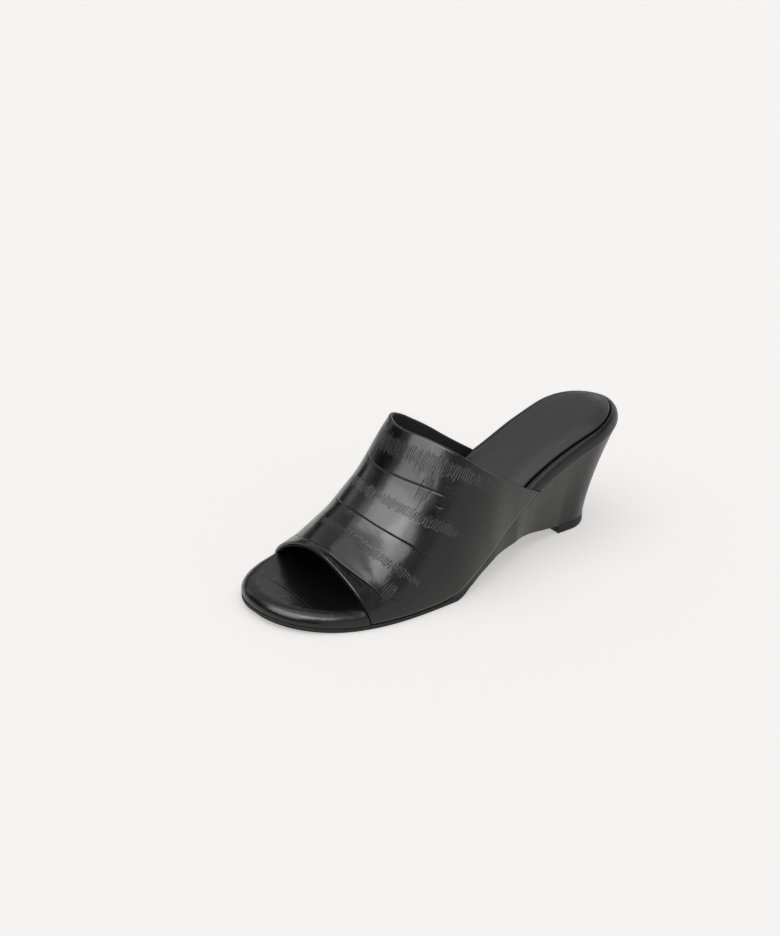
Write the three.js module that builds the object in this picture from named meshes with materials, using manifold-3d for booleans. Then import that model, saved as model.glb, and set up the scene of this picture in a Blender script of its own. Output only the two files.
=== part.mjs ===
// A women's left open-toe wedge mule: one leather band over the foot, a wrapped footbed on a covered
// wedge, a thin outsole under the forefoot and a top piece under the heel.
// Millimetres, +Z up. The toe points along -Y and the outer side of the foot is +X.
import * as THREE from "three";
import { mergeVertices } from "three/addons/utils/BufferGeometryUtils.js";
import Module from "manifold-3d";

const wasm = await Module();
wasm.setup();

// Driving dimensions
const shoeLength = 237; // plan length of the footbed, heel to toe
const heelHalfOuter = 27; // half widths from the shoe's long axis
const heelHalfInner = 26.1;
const ballHalfOuter = 47;
const ballHalfInner = 41.3;
const heelRise = 57.2; // underside of the footbed above the floor at the heel's back
const toeSpring = 2.3; // lift of the sole at the toe's tip
const clearance = 0.3; // between pieces that touch

// Places along the shoe from the heel's back, which keep their share of its length
const collarOuter = 0.3063 * shoeLength; // where the collar meets the sole
const collarInner = 0.2987 * shoeLength;
const collarCrest = 0.5962 * shoeLength; // foremost point of the collar, on the ridge
const toeEdgeSide = 0.827 * shoeLength; // where the toe opening meets the sole, both sides
const toeEdgeCrest = 0.8523 * shoeLength; // foremost point of the toe opening's edge
const sockFront = 0.768 * shoeLength; // front end of the sock, hidden under the band
const outsoleBack = 0.5485 * shoeLength; // rear end of the outsole, under the rising waist
const wedgeFront = 0.6076 * shoeLength; // thin front end of the wedge
const toeSpringStart = 0.84 * shoeLength;
const thickeningStart = 0.45 * shoeLength; // where the rim's thickness begins to change
const thickeningEnd = 0.8 * shoeLength;

const upperWall = 1.9; // leather and lining together
const vampHeight = 78; // ridge of the band above the footbed's underside, just under the collar
const roomOutside = 6; // how far the room for the band's lower edges is cut past the band
const roomDrop = 4; // and below them

const outsoleThickness = 2.1;
const outsoleInset = 0.3; // from the outline of the footbed
const outsoleChamfer = 0.5;
const footbedHeel = 6.6; // thickness of the footbed's rim at the heel
const footbedToe = 7.2; // and at the toe
const rimWidth = 4; // of the rim's rounded edge
const sockInset = 5.2; // from the footbed's outline to the sock's groove
const sockRecess = 1.3; // depth of the seat pressed for the sock
const seatWall = 0.6; // width of the seat's sloping edge
const seatFade = 6; // length over which the seat runs out ahead of the sock
const sockThickness = 2.8; // it stands proud of the rim
const sockEdge = 3.4; // width of the sock's rounded edge
const wedgeInset = 0.5; // from the outline of the footbed

const topPieceHeight = 5;
const topPieceBack = 20; // from the heel's back
const topPieceFront = 48;
const topPieceHalf = 19.5; // half width
const topPieceChamfer = 0.6;
const heelReach = 60; // length over which the heel's back is drawn forward to the top piece
const waistSpread = { reach: 2.2, power: 0.9 }; // how soon the underside widens ahead of the top piece
const archHeight = 16; // highest point of the arched underside above the floor

// Tables: each row holds a station as a share of the shoe's length, then shares of the named sizes
const planTable = [
  // spread is the share of the way from the heel's half width to the ball's
  { at: 0, outerSpread: 0, innerSpread: 0 },
  { at: 0.12, outerSpread: 0, innerSpread: 0 },
  { at: 0.2, outerSpread: 0.01, innerSpread: -0.01 },
  { at: 0.3, outerSpread: 0.105, innerSpread: -0.08 },
  { at: 0.4, outerSpread: 0.37, innerSpread: 0.01 },
  { at: 0.5, outerSpread: 0.74, innerSpread: 0.32 },
  { at: 0.6, outerSpread: 0.96, innerSpread: 0.75 },
  { at: 0.7, outerSpread: 1, innerSpread: 0.97 },
  { at: 1, outerSpread: 1, innerSpread: 1 },
];
const endRounds = {
  // length of each rounded end as a share of the shoe's length, and its power (2 is an ellipse)
  heelOuter: { reach: 0.138, power: 1.87 },
  heelInner: { reach: 0.13, power: 1.9 },
  toeOuter: { reach: 0.3, power: 2.2 },
  toeInner: { reach: 0.28, power: 2.25 },
};
const footbedTable = [
  // rise is a share of the heel's rise above the forefoot
  { at: 0, rise: 1 },
  { at: 0.05, rise: 0.978 },
  { at: 0.1, rise: 0.934 },
  { at: 0.2, rise: 0.803 },
  { at: 0.3, rise: 0.639 },
  { at: 0.4, rise: 0.442 },
  { at: 0.5, rise: 0.23 },
  { at: 0.55, rise: 0.117 },
  { at: 0.6, rise: 0.031 },
  { at: 0.66, rise: 0 },
  { at: 1, rise: 0 },
];
const upperTable = [
  // height is a share of vampHeight and ridge, the sideways place of the crest, one of the ball's width;
  // lean draws the sides in and full fills the shoulders out
  { at: 0.3, height: 1.247, ridge: -0.172, lean: -0.2, full: 0.2 },
  { at: 0.42, height: 1.246, ridge: -0.163, lean: -0.15, full: 0.085 },
  { at: 0.5, height: 1.163, ridge: -0.128, lean: -0.107, full: 0.02 },
  { at: 0.58, height: 0.997, ridge: -0.093, lean: -0.064, full: -0.027 },
  { at: 0.66, height: 0.705, ridge: -0.059, lean: 0.007, full: -0.061 },
  { at: 0.74, height: 0.499, ridge: -0.024, lean: 0.1, full: -0.085 },
  { at: 0.82, height: 0.366, ridge: 0.01, lean: 0.204, full: -0.101 },
  { at: 0.9, height: 0.297, ridge: 0.045, lean: 0.294, full: -0.114 },
];
const archTable = [
  // along runs from the top piece's front to the wedge's front, rise is a share of archHeight
  { along: 0, rise: 0 },
  { along: 0.15, rise: 0.33 },
  { along: 0.31, rise: 0.8 },
  { along: 0.46, rise: 1 },
  { along: 0.6, rise: 0.95 },
  { along: 0.77, rise: 0.62 },
  { along: 0.86, rise: 0.32 },
  { along: 0.93, rise: 0.07 },
  { along: 0.97, rise: 0 },
];
const collarSweep = { outer: 0.75, inner: 0.52, power: 1.5 }; // how soon the collar runs forward
const toeEdgePower = 1.18;
const sockFrontRound = { reach: 0.14, power: 2 };
const edgeCrowding = 0.6; // the band's facets are narrower near its lower edges
const flarePower = 1.42; // the wedge stays slim low down and flares towards the footbed

// Facets: stations along each plan loop, steps up rounded edges and walls, strips across each face
const stations = { footbed: 44, sock: 36, outsole: 36, wedge: 40, topPiece: 16 };
const steps = { footbedRim: 6, sockEdge: 4, wedgeWall: 9 };
const stripsAcross = 2;
const bandFacets = { rows: 30, turns: 40 };
const roomFacets = { rows: 24, turns: 40 };

// Curves and sizes along the shoe

const clamp = (v, low, high) => Math.min(high, Math.max(low, v));

// Smooth curve through one column of a table, with no overshoot between rows
function curve(table, column, key = "at") {
  const xs = table.map((row) => row[key]);
  const ys = table.map((row) => row[column]);
  const slopes = xs.slice(1).map((x, i) => (ys[i + 1] - ys[i]) / (x - xs[i]));
  const tangents = xs.map((_, i) => {
    const before = slopes[i - 1] ?? slopes[i];
    const after = slopes[i] ?? before;
    return before * after <= 0 ? 0 : (2 * before * after) / (before + after);
  });
  return (value) => {
    const v = clamp(value, xs[0], xs.at(-1));
    const i = clamp(xs.findIndex((x) => x >= v) - 1, 0, xs.length - 2);
    const span = xs[i + 1] - xs[i];
    const s = (v - xs[i]) / span;
    const rise = s * s * (3 - 2 * s);
    const enter = s * (1 - s) ** 2 * span;
    const leave = s * s * (s - 1) * span;
    return ys[i] + (ys[i + 1] - ys[i]) * rise + tangents[i] * enter + tangents[i + 1] * leave;
  };
}

const outerSpread = curve(planTable, "outerSpread");
const innerSpread = curve(planTable, "innerSpread");
const footbedRise = curve(footbedTable, "rise");
const archRise = curve(archTable, "rise", "along");
const upperCurves = Object.fromEntries(
  ["height", "ridge", "lean", "full"].map((column) => [column, curve(upperTable, column)]),
);

// Fall to zero over the last stretch before an end, as a rounded corner does
function rounding(distance, { reach, power }) {
  const share = clamp(1 - distance / reach, 0, 1);
  return (1 - share ** power) ** (1 / power);
}

// Half widths of the outline at a distance from the heel's back, towards the outer and inner side
function halfOuter(along) {
  const at = along / shoeLength;
  const width = heelHalfOuter + (ballHalfOuter - heelHalfOuter) * outerSpread(at);
  return width * rounding(at, endRounds.heelOuter) * rounding(1 - at, endRounds.toeOuter);
}
function halfInner(along) {
  const at = along / shoeLength;
  const width = heelHalfInner + (ballHalfInner - heelHalfInner) * innerSpread(at);
  return width * rounding(at, endRounds.heelInner) * rounding(1 - at, endRounds.toeInner);
}

// Share of the way from one place to another, held at both ends
const shareOf = (along, from, to) => clamp((along - from) / (to - from), 0, 1);

const toeLift = (along) => toeSpring * shareOf(along, toeSpringStart, shoeLength) ** 2;
const forefootStack = outsoleThickness + clearance;

// Height of the line where the footbed and the band meet the wedge or the outsole
const featherLine = (along) =>
  forefootStack + (heelRise - forefootStack) * footbedRise(along / shoeLength) + toeLift(along);

const wedgeSpan = wedgeFront - topPieceFront;
const archAt = (along) => archRise((along - topPieceFront) / wedgeSpan);

// Underside of the shoe: the top piece's seat, the arch, the flat forefoot and the toe spring
function underside(along) {
  if (along > topPieceFront + wedgeSpan / 2) {
    return archHeight * archAt(along) + toeLift(along);
  }
  return topPieceHeight + (archHeight - topPieceHeight) * archAt(along);
}

const footbedThickness = (along) =>
  footbedHeel + (footbedToe - footbedHeel) * shareOf(along, thickeningStart, thickeningEnd);

// Meshes and solids

const toRow = (x, along, z) => [x, shoeLength / 2 - along, z];

// Closed solid from a grid of points, each row a closed loop, with both ends filled across
function loopSolid(loops) {
  const points = [];
  const faces = [];
  const count = loops[0].length;
  const at = (row, i) => row * count + ((i + count) % count);
  loops.forEach((loop) => points.push(...loop));
  for (let row = 0; row + 1 < loops.length; row++) {
    for (let i = 0; i < count; i++) {
      faces.push([at(row, i), at(row + 1, i + 1), at(row, i + 1)]);
      faces.push([at(row, i), at(row + 1, i), at(row + 1, i + 1)]);
    }
  }
  fillAcross(points, faces, 0, count, false);
  fillAcross(points, faces, (loops.length - 1) * count, count, true);
  return solidOf(points, faces);
}

// Fill a loop with strips that run from its outer half to its inner half
function fillAcross(points, faces, start, count, flipped) {
  const half = count / 2;
  const rails = [];
  for (let i = 0; i <= half; i++) {
    const a = start + i;
    const b = start + ((count - i) % count);
    const rail = [a];
    for (let k = 1; k < stripsAcross && a !== b; k++) {
      const share = k / stripsAcross;
      rail.push(points.length);
      points.push(points[a].map((v, axis) => v + (points[b][axis] - v) * share));
    }
    rail.push(b);
    rails.push(a === b ? Array(stripsAcross + 1).fill(a) : rail);
  }
  const put = (a, b, c) => {
    if (a !== b && b !== c && c !== a) {
      faces.push(flipped ? [a, c, b] : [a, b, c]);
    }
  };
  for (let i = 0; i < half; i++) {
    for (let k = 0; k < stripsAcross; k++) {
      put(rails[i][k], rails[i + 1][k], rails[i + 1][k + 1]);
      put(rails[i][k], rails[i + 1][k + 1], rails[i][k + 1]);
    }
  }
}

function solidOf(points, faces) {
  const geometry = new THREE.BufferGeometry();
  geometry.setAttribute("position", new THREE.Float32BufferAttribute(points.flat(), 3));
  geometry.setIndex(faces.flat());
  const merged = mergeVertices(geometry, 1e-4);
  const index = Array.from(merged.index.array);
  const kept = [];
  for (let i = 0; i < index.length; i += 3) {
    const [a, b, c] = index.slice(i, i + 3);
    if (a !== b && b !== c && c !== a) {
      kept.push(a, b, c);
    }
  }
  const mesh = new wasm.Mesh({
    numProp: 3,
    vertProperties: new Float32Array(merged.attributes.position.array),
    triVerts: new Uint32Array(kept),
  });
  return new wasm.Manifold(mesh);
}

function meshOf(solid, name, material) {
  const { vertProperties, triVerts } = solid.getMesh();
  const geometry = new THREE.BufferGeometry();
  geometry.setAttribute("position", new THREE.BufferAttribute(vertProperties, 3));
  geometry.setIndex(new THREE.BufferAttribute(triVerts, 1));
  const flat = geometry.toNonIndexed();
  flat.computeVertexNormals();
  const mesh = new THREE.Mesh(flat, material);
  mesh.name = name;
  return mesh;
}

// Plan loop from the heel end round the outer side to the toe end and back, as [x, along] points
function planLoop(start, end, outer, inner, count) {
  const places = Array.from({ length: count + 1 }, (_, i) => {
    const share = (1 - Math.cos((Math.PI * i) / count)) / 2;
    return start + (end - start) * share;
  });
  const outerSide = places.map((along) => [outer(along), along]);
  const innerSide = places.slice(1, -1).map((along) => [-inner(along), along]);
  return [...outerSide, ...innerSide.reverse()];
}

// The same loop drawn in by a distance, square to its edge
function drawnIn(loop, distance) {
  return loop.map(([x, along], i) => {
    const before = loop.at(i - 1);
    const after = loop[(i + 1) % loop.length];
    const dx = after[0] - before[0];
    const dy = after[1] - before[1];
    const length = Math.hypot(dx, dy);
    return [x - (dy / length) * distance, along + (dx / length) * distance];
  });
}

// Plate over a curved base: each ring has an inset from the plan loop and a height over the base
function plate(loop, base, rings) {
  const loops = rings.map(({ inset, height }) =>
    drawnIn(loop, inset).map(([x, along]) => toRow(x, along, base(along) + height(along))),
  );
  return loopSolid(loops);
}

// Rings of a rounded edge, from its lowest to its highest point
function roundedEdge(width, bottom, top, count) {
  return Array.from({ length: count + 1 }, (_, i) => {
    const angle = Math.PI * (i / count - 0.5);
    return {
      inset: width * (1 - Math.cos(angle)),
      height: (along) => {
        const low = bottom(along);
        return low + ((top(along) - low) * (1 + Math.sin(angle))) / 2;
      },
    };
  });
}

// The band: sections over the foot, cut by the collar and the toe opening

// Point of the band's outer surface; angle runs from 0 at the outer side over the ridge to PI
function bandPoint(along, angle) {
  const at = along / shoeLength;
  const c = Math.cos(angle);
  const s = Math.sin(angle);
  const half = c >= 0 ? halfOuter(along) : halfInner(along);
  const crest = upperCurves.ridge(at) * (ballHalfOuter + ballHalfInner);
  const across = c * (1 - upperCurves.lean(at) * s * s);
  const up = s * (1 + upperCurves.full(at) * c * c);
  const height = vampHeight * upperCurves.height(at);
  return new THREE.Vector3(
    ...toRow(crest * s * s + half * across, along, featherLine(along) + height * up),
  );
}

function collarAt(angle) {
  const outer = Math.cos(angle) >= 0;
  const side = outer ? collarOuter : collarInner;
  const sweep = outer ? collarSweep.outer : collarSweep.inner;
  const climb = Math.sin(angle);
  return side + (collarCrest - side) * climb * (1 + sweep * (1 - climb) ** collarSweep.power);
}
const toeEdgeAt = (angle) => toeEdgeSide + (toeEdgeCrest - toeEdgeSide) * Math.sin(angle) ** toeEdgePower;

function bandNormal(along, angle) {
  const step = 0.5;
  const turn = 0.01;
  const alongShoe = bandPoint(along + step, angle).sub(bandPoint(along - step, angle));
  const low = Math.max(0, angle - turn);
  const high = Math.min(Math.PI, angle + turn);
  const round = bandPoint(along, high).sub(bandPoint(along, low));
  return round.cross(alongShoe).normalize();
}

// Closed band between two offsets from the outer surface (positive is outwards), drawn out past the
// collar and the toe opening by ends and down past its lower edges by drop
function band({ outside, inside, ends = 0, drop = 0, rows, turns }) {
  const angles = Array.from({ length: turns + 1 }, (_, i) => {
    const turn = (2 * Math.PI * i) / turns;
    return (turn - edgeCrowding * Math.sin(turn)) / 2;
  });
  const layer = (offset) =>
    Array.from({ length: rows + 1 }, (_, row) => {
      const line = angles.map((angle) => {
        const start = collarAt(angle) - ends;
        const end = toeEdgeAt(angle) + ends;
        const along = start + ((end - start) * row) / rows;
        const point = bandPoint(along, angle);
        return point.addScaledVector(bandNormal(along, angle), offset).toArray();
      });
      if (drop > 0) {
        const lowered = ([x, y, z]) => [x, y, z - drop];
        line.unshift(lowered(line[0]));
        line.push(lowered(line.at(-1)));
      }
      return line;
    });
  const outer = layer(outside);
  const inner = layer(inside);
  const width = outer[0].length;
  const points = [...outer.flat(), ...inner.flat()];
  const faces = [];
  const quad = (a, b, c, d) => faces.push([a, b, c], [a, c, d]);
  const out = (row, i) => row * width + i;
  const inn = (row, i) => (rows + 1 + row) * width + i;
  for (let row = 0; row < rows; row++) {
    for (let i = 0; i + 1 < width; i++) {
      quad(out(row, i), out(row, i + 1), out(row + 1, i + 1), out(row + 1, i));
      quad(inn(row, i), inn(row + 1, i), inn(row + 1, i + 1), inn(row, i + 1));
    }
    quad(out(row, 0), out(row + 1, 0), inn(row + 1, 0), inn(row, 0));
    quad(out(row, width - 1), inn(row, width - 1), inn(row + 1, width - 1), out(row + 1, width - 1));
  }
  for (let i = 0; i + 1 < width; i++) {
    quad(out(0, i), inn(0, i), inn(0, i + 1), out(0, i + 1));
    quad(out(rows, i), out(rows, i + 1), inn(rows, i + 1), inn(rows, i));
  }
  return solidOf(points, faces);
}

const upperSolid = () => band({ outside: 0, inside: -upperWall, ...bandFacets });

// Room for the band's lower edges, taken out of what lies inside it
function upperRoom() {
  const inside = -upperWall - clearance;
  return band({ outside: roomOutside, inside, ends: clearance, drop: roomDrop, ...roomFacets });
}

// Footbed: wrapped board with a rounded rim and a pressed seat for the sock

const seatDepth = (along) => sockRecess * (1 - shareOf(along, sockFront, sockFront + seatFade));

function footbedSolid() {
  const loop = planLoop(0, shoeLength, halfOuter, halfInner, stations.footbed);
  const top = footbedThickness;
  const seat = (along) => top(along) - seatDepth(along);
  const rings = [
    ...roundedEdge(rimWidth, () => 0, top, steps.footbedRim),
    { inset: sockInset - clearance - seatWall, height: top },
    { inset: sockInset - clearance, height: seat },
  ];
  return plate(loop, featherLine, rings).subtract(upperRoom());
}

// Sock: padded sheet lying in the seat, with rounded edges

function sockSolid() {
  const end = sockFront + sockInset;
  const front = (along) => rounding((end - along) / shoeLength, sockFrontRound);
  const outer = (along) => halfOuter(along) * front(along);
  const inner = (along) => halfInner(along) * front(along);
  const loop = drawnIn(planLoop(0, end, outer, inner, stations.sock), sockInset);
  const bottom = (along) => footbedThickness(along) - sockRecess + clearance;
  const top = (along) => bottom(along) + sockThickness;
  return plate(loop, featherLine, roundedEdge(sockEdge, bottom, top, steps.sockEdge));
}

// Outsole: thin sheet under the forefoot, its rear end following the rising waist

function outsolePlate(grown) {
  const outer = (along) => Math.max(0, halfOuter(along) - outsoleInset + grown);
  const inner = (along) => Math.max(0, halfInner(along) - outsoleInset + grown);
  const front = shoeLength - outsoleInset + grown;
  const loop = planLoop(outsoleBack - grown, front, outer, inner, stations.outsole);
  const rings = [
    { inset: outsoleChamfer, height: () => -grown },
    { inset: 0, height: () => outsoleChamfer - grown },
    { inset: 0, height: () => outsoleThickness + grown },
  ];
  return plate(loop, underside, rings);
}

// Wedge: lofted from its slim arched underside up to the footbed

function wedgeSolid() {
  const top = planLoop(
    wedgeInset,
    wedgeFront,
    (along) => Math.max(0, halfOuter(along) - wedgeInset),
    (along) => Math.max(0, halfInner(along) - wedgeInset),
    stations.wedge,
  );
  const low = ([x, along]) => {
    const back = topPieceBack - wedgeInset;
    const moved = along + back * clamp(1 - (along - wedgeInset) / heelReach, 0, 1) ** 2;
    const share = shareOf(moved, topPieceFront, wedgeFront);
    const spread = clamp(share * waistSpread.reach, 0, 1) ** waistSpread.power;
    const half = topPieceHalfAt(moved) + (Math.abs(x) - topPieceHalf) * spread;
    return [Math.sign(x) * half, moved];
  };
  const bottom = top.map(low);
  const loops = Array.from({ length: steps.wedgeWall + 1 }, (_, k) => {
    const v = k / steps.wedgeWall;
    const flare = v ** flarePower;
    return top.map(([x, along], i) => {
      const [lowX, lowAlong] = bottom[i];
      const lowZ = underside(lowAlong) + clearance * (lowAlong < topPieceFront ? 1 : 0);
      const highZ = featherLine(along) - clearance;
      return toRow(
        lowX + (x - lowX) * flare,
        lowAlong + (along - lowAlong) * flare,
        lowZ + (highZ - lowZ) * v,
      );
    });
  });
  return loopSolid(loops).subtract(outsolePlate(clearance));
}

// Top piece: the replaceable wearing end under the heel

// Half width of the top piece, whose back is a half circle
function topPieceHalfAt(along) {
  const share = shareOf(along, topPieceBack, topPieceBack + topPieceHalf);
  return topPieceHalf * Math.sqrt(1 - (1 - share) ** 2);
}

function topPieceSolid() {
  const half = topPieceHalfAt;
  const loop = planLoop(topPieceBack, topPieceFront, half, half, stations.topPiece);
  const rings = [
    { inset: topPieceChamfer, height: () => 0 },
    { inset: 0, height: () => topPieceChamfer },
    { inset: 0, height: () => topPieceHeight },
  ];
  return plate(loop, () => 0, rings);
}

// Materials and assembly

const materials = {
  glossyLeather: { color: 0x0c0d10, roughness: 0.25, metalness: 0 },
  footbedLeather: { color: 0x101115, roughness: 0.4, metalness: 0 },
  sockLeather: { color: 0x121317, roughness: 0.5, metalness: 0 },
  wedgeLeather: { color: 0x15161a, roughness: 0.42, metalness: 0 },
  soleSheet: { color: 0x141414, roughness: 0.75, metalness: 0 },
  topPieceRubber: { color: 0x111111, roughness: 0.7, metalness: 0 },
};

const pieces = [
  { name: "upper", solid: upperSolid(), finish: "glossyLeather" },
  { name: "footbed", solid: footbedSolid(), finish: "footbedLeather" },
  { name: "sock", solid: sockSolid(), finish: "sockLeather" },
  { name: "wedge", solid: wedgeSolid(), finish: "wedgeLeather" },
  { name: "outsole", solid: outsolePlate(0), finish: "soleSheet" },
  { name: "top_piece", solid: topPieceSolid(), finish: "topPieceRubber" },
];

const shoe = new THREE.Group();
for (const { name, solid, finish } of pieces) {
  shoe.add(meshOf(solid, name, new THREE.MeshStandardMaterial(materials[finish])));
}

// The origin is on the floor, under the middle of the shoe
const box = new THREE.Box3().setFromObject(shoe);
const middle = box.getCenter(new THREE.Vector3());
shoe.position.set(-middle.x, -middle.y, -box.min.z);

export default shoe;
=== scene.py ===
from math import asin, cos, exp, pi, radians, sin, sqrt
import bmesh
import bpy
from mathutils import Matrix, Vector


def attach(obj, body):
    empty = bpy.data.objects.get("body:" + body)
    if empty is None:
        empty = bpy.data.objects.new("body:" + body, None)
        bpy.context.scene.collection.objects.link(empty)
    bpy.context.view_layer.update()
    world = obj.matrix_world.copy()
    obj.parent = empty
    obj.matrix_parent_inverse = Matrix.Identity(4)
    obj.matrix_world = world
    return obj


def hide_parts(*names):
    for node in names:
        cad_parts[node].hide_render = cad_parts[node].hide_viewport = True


# A black open-toe wedge mule, the left shoe. Sizes are in millimetres along the shoe from its heel's
# back, across from its long axis and up from the floor. They become the frame's metres in toFrame.
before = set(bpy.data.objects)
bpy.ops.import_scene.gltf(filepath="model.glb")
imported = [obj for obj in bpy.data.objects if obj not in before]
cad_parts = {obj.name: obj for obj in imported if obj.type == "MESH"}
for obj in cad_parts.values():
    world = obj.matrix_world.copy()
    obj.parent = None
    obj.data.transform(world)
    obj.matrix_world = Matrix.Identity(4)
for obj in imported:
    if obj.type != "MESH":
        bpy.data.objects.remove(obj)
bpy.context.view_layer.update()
mm = 0.001

shoe = {
    "length": 237.0,
    "longAxis": -3.0474,  # across, from the middle of the frame
    "heelOuter": 27.0,  # half widths, towards the outer and the inner side
    "heelInner": 26.1,
    "ballOuter": 47.0,
    "ballInner": 41.3,
    "heelRise": 57.2,
    "toeSpring": 2.3,
    "springStart": 0.84,  # share of the length
    "soleThickness": 2.1,
    "gap": 0.3,  # between neighbouring pieces
}
planTable = [
    {"at": 0, "outer": 0, "inner": 0},
    {"at": 0.12, "outer": 0, "inner": 0},
    {"at": 0.2, "outer": 0.01, "inner": -0.01},
    {"at": 0.3, "outer": 0.105, "inner": -0.08},
    {"at": 0.4, "outer": 0.37, "inner": 0.01},
    {"at": 0.5, "outer": 0.74, "inner": 0.32},
    {"at": 0.6, "outer": 0.96, "inner": 0.75},
    {"at": 0.7, "outer": 1, "inner": 0.97},
    {"at": 1, "outer": 1, "inner": 1},
]
endRounds = {
    "heelOuter": {"reach": 0.138, "power": 1.87},
    "heelInner": {"reach": 0.13, "power": 1.9},
    "toeOuter": {"reach": 0.3, "power": 2.2},
    "toeInner": {"reach": 0.28, "power": 2.25},
}
footbedTable = [
    {"at": 0, "rise": 1},
    {"at": 0.05, "rise": 0.978},
    {"at": 0.1, "rise": 0.934},
    {"at": 0.2, "rise": 0.803},
    {"at": 0.3, "rise": 0.639},
    {"at": 0.4, "rise": 0.442},
    {"at": 0.5, "rise": 0.23},
    {"at": 0.55, "rise": 0.117},
    {"at": 0.6, "rise": 0.031},
    {"at": 0.66, "rise": 0},
    {"at": 1, "rise": 0},
]


# Curves and sizes along the shoe


def clamp(value, low=0.0, high=1.0):
    return min(high, max(low, value))


def mix(a, b, share):
    return a + (b - a) * share


def smooth(share):
    held = clamp(share)
    return held * held * (3 - 2 * held)


def curve(table, column):  # through a table's column, with no overshoot between rows
    places = [row["at"] for row in table]
    values = [row[column] for row in table]
    spans = [b - a for a, b in zip(places, places[1:])]
    slopes = [(b - a) / span for a, b, span in zip(values, values[1:], spans)]
    before = [slopes[0]] + slopes
    after = slopes + [slopes[-1]]
    tangents = [0 if b * a <= 0 else 2 * b * a / (b + a) for b, a in zip(before, after)]

    def valueAt(place):
        held = clamp(place, places[0], places[-1])
        i = 0
        while i < len(spans) - 1 and places[i + 1] < held:
            i += 1
        s = (held - places[i]) / spans[i]
        enter = tangents[i] * s * (1 - s) ** 2 * spans[i]
        leave = tangents[i + 1] * s * s * (s - 1) * spans[i]
        return mix(values[i], values[i + 1], s * s * (3 - 2 * s)) + enter + leave

    return valueAt


outerSpread = curve(planTable, "outer")
innerSpread = curve(planTable, "inner")
footbedRise = curve(footbedTable, "rise")


def rounding(distance, end):
    share = clamp(1 - distance / end["reach"])
    return (1 - share ** end["power"]) ** (1 / end["power"])


def halfOuter(along):
    at = along / shoe["length"]
    width = mix(shoe["heelOuter"], shoe["ballOuter"], outerSpread(at))
    return width * rounding(at, endRounds["heelOuter"]) * rounding(1 - at, endRounds["toeOuter"])


def halfInner(along):
    at = along / shoe["length"]
    width = mix(shoe["heelInner"], shoe["ballInner"], innerSpread(at))
    return width * rounding(at, endRounds["heelInner"]) * rounding(1 - at, endRounds["toeInner"])


def toeLift(along):
    start = shoe["springStart"]
    return shoe["toeSpring"] * clamp((along / shoe["length"] - start) / (1 - start)) ** 2


def featherLine(along):  # where the footbed and the band meet what is under them
    low = shoe["soleThickness"] + shoe["gap"]
    rise = (shoe["heelRise"] - low) * footbedRise(along / shoe["length"])
    return low + rise + toeLift(along)


def toFrame(x, along, z):
    return Vector((x + shoe["longAxis"], shoe["length"] / 2 - along, z)) * mm


# Meshes: rings of points drawn out one after another, and the finished object


def planLoop(start, end, outer, inner, count, extra=()):
    places = [mix(start, end, (1 - cos(pi * i / count)) / 2) for i in range(count + 1)]
    places = sorted(places + [place for place in extra if start < place < end])
    outerSide = [(outer(along), along) for along in places]
    innerSide = [(-inner(along), along) for along in places[1:-1]]
    return outerSide + innerSide[::-1]


def drawnIn(loop, distance):  # square to the loop's edge, by one distance or one for each place
    drawn = []
    for i, (x, along) in enumerate(loop):
        dx = loop[(i + 1) % len(loop)][0] - loop[i - 1][0]
        dy = loop[(i + 1) % len(loop)][1] - loop[i - 1][1]
        reach = distance(along) if callable(distance) else distance
        share = reach / (sqrt(dx * dx + dy * dy) or 1)
        drawn.append((x - dy * share, along + dx * share))
    return drawn


def towardsMiddle(loop, share):  # each point and its partner across the shoe draw together
    count = len(loop)
    closing = []
    for i, (x, along) in enumerate(loop):
        otherX, otherAlong = loop[(count - i) % count]
        middle = ((x + otherX) / 2, (along + otherAlong) / 2)
        closing.append((mix(x, middle[0], share), mix(along, middle[1], share)))
    return closing


def closingShares(count):
    return [i / count for i in range(1, count + 1)]


def drawnOut(rings):  # closed skin through rings of points whose first and last ring meet in a line
    bm = bmesh.new()
    index = bm.verts.layers.int.new("place")
    bmesh.ops.create_circle(bm, cap_ends=False, radius=1, segments=len(rings[0]))
    for i, vert in enumerate(bm.verts):
        vert[index] = i
        vert.co = rings[0][i]
    edges = bm.edges[:]
    for ring in rings[1:]:
        drawn = bmesh.ops.extrude_edge_only(bm, edges=edges)["geom"]
        edges = [e for e in drawn if isinstance(e, bmesh.types.BMEdge) and e.is_boundary]
        for vert in (v for v in drawn if isinstance(v, bmesh.types.BMVert)):
            vert.co = ring[vert[index]]
    return bm


weldDistance = 2e-6  # metres


def finished(bm, name, node, surface, sharpAngle):
    bmesh.ops.remove_doubles(bm, verts=bm.verts, dist=weldDistance)
    bmesh.ops.dissolve_degenerate(bm, edges=bm.edges, dist=weldDistance)
    bmesh.ops.recalc_face_normals(bm, faces=bm.faces)
    for face in bm.faces:
        face.smooth = True
    for edge in bm.edges:
        edge.smooth = edge.calc_face_angle(0) < radians(sharpAngle)
    mesh = bpy.data.meshes.new(name)
    bm.to_mesh(mesh)
    bm.free()
    mesh.materials.append(surface)
    piece = bpy.data.objects.new(name, mesh)
    bpy.context.scene.collection.objects.link(piece)
    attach(piece, "root")
    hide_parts(node)
    return piece


# Materials: black leathers, each with its own grain and gloss


def addNode(tree, kind, settings=None, **inputs):
    made = tree.nodes.new(kind)
    for setting, value in (settings or {}).items():
        setattr(made, setting, value)
    for name, value in inputs.items():
        socket = made.inputs[int(name[1:])] if name[1:].isdigit() else made.inputs[name]
        if isinstance(value, bpy.types.NodeSocket):
            tree.links.new(value, socket)
        else:
            socket.default_value = value
    return made.outputs


def times(tree, a, b):
    return addNode(tree, "ShaderNodeMath", {"operation": "MULTIPLY"}, i0=a, i1=b)[0]


def plus(tree, a, b):
    return addNode(tree, "ShaderNodeMath", {"operation": "ADD"}, i0=a, i1=b)[0]


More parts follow.
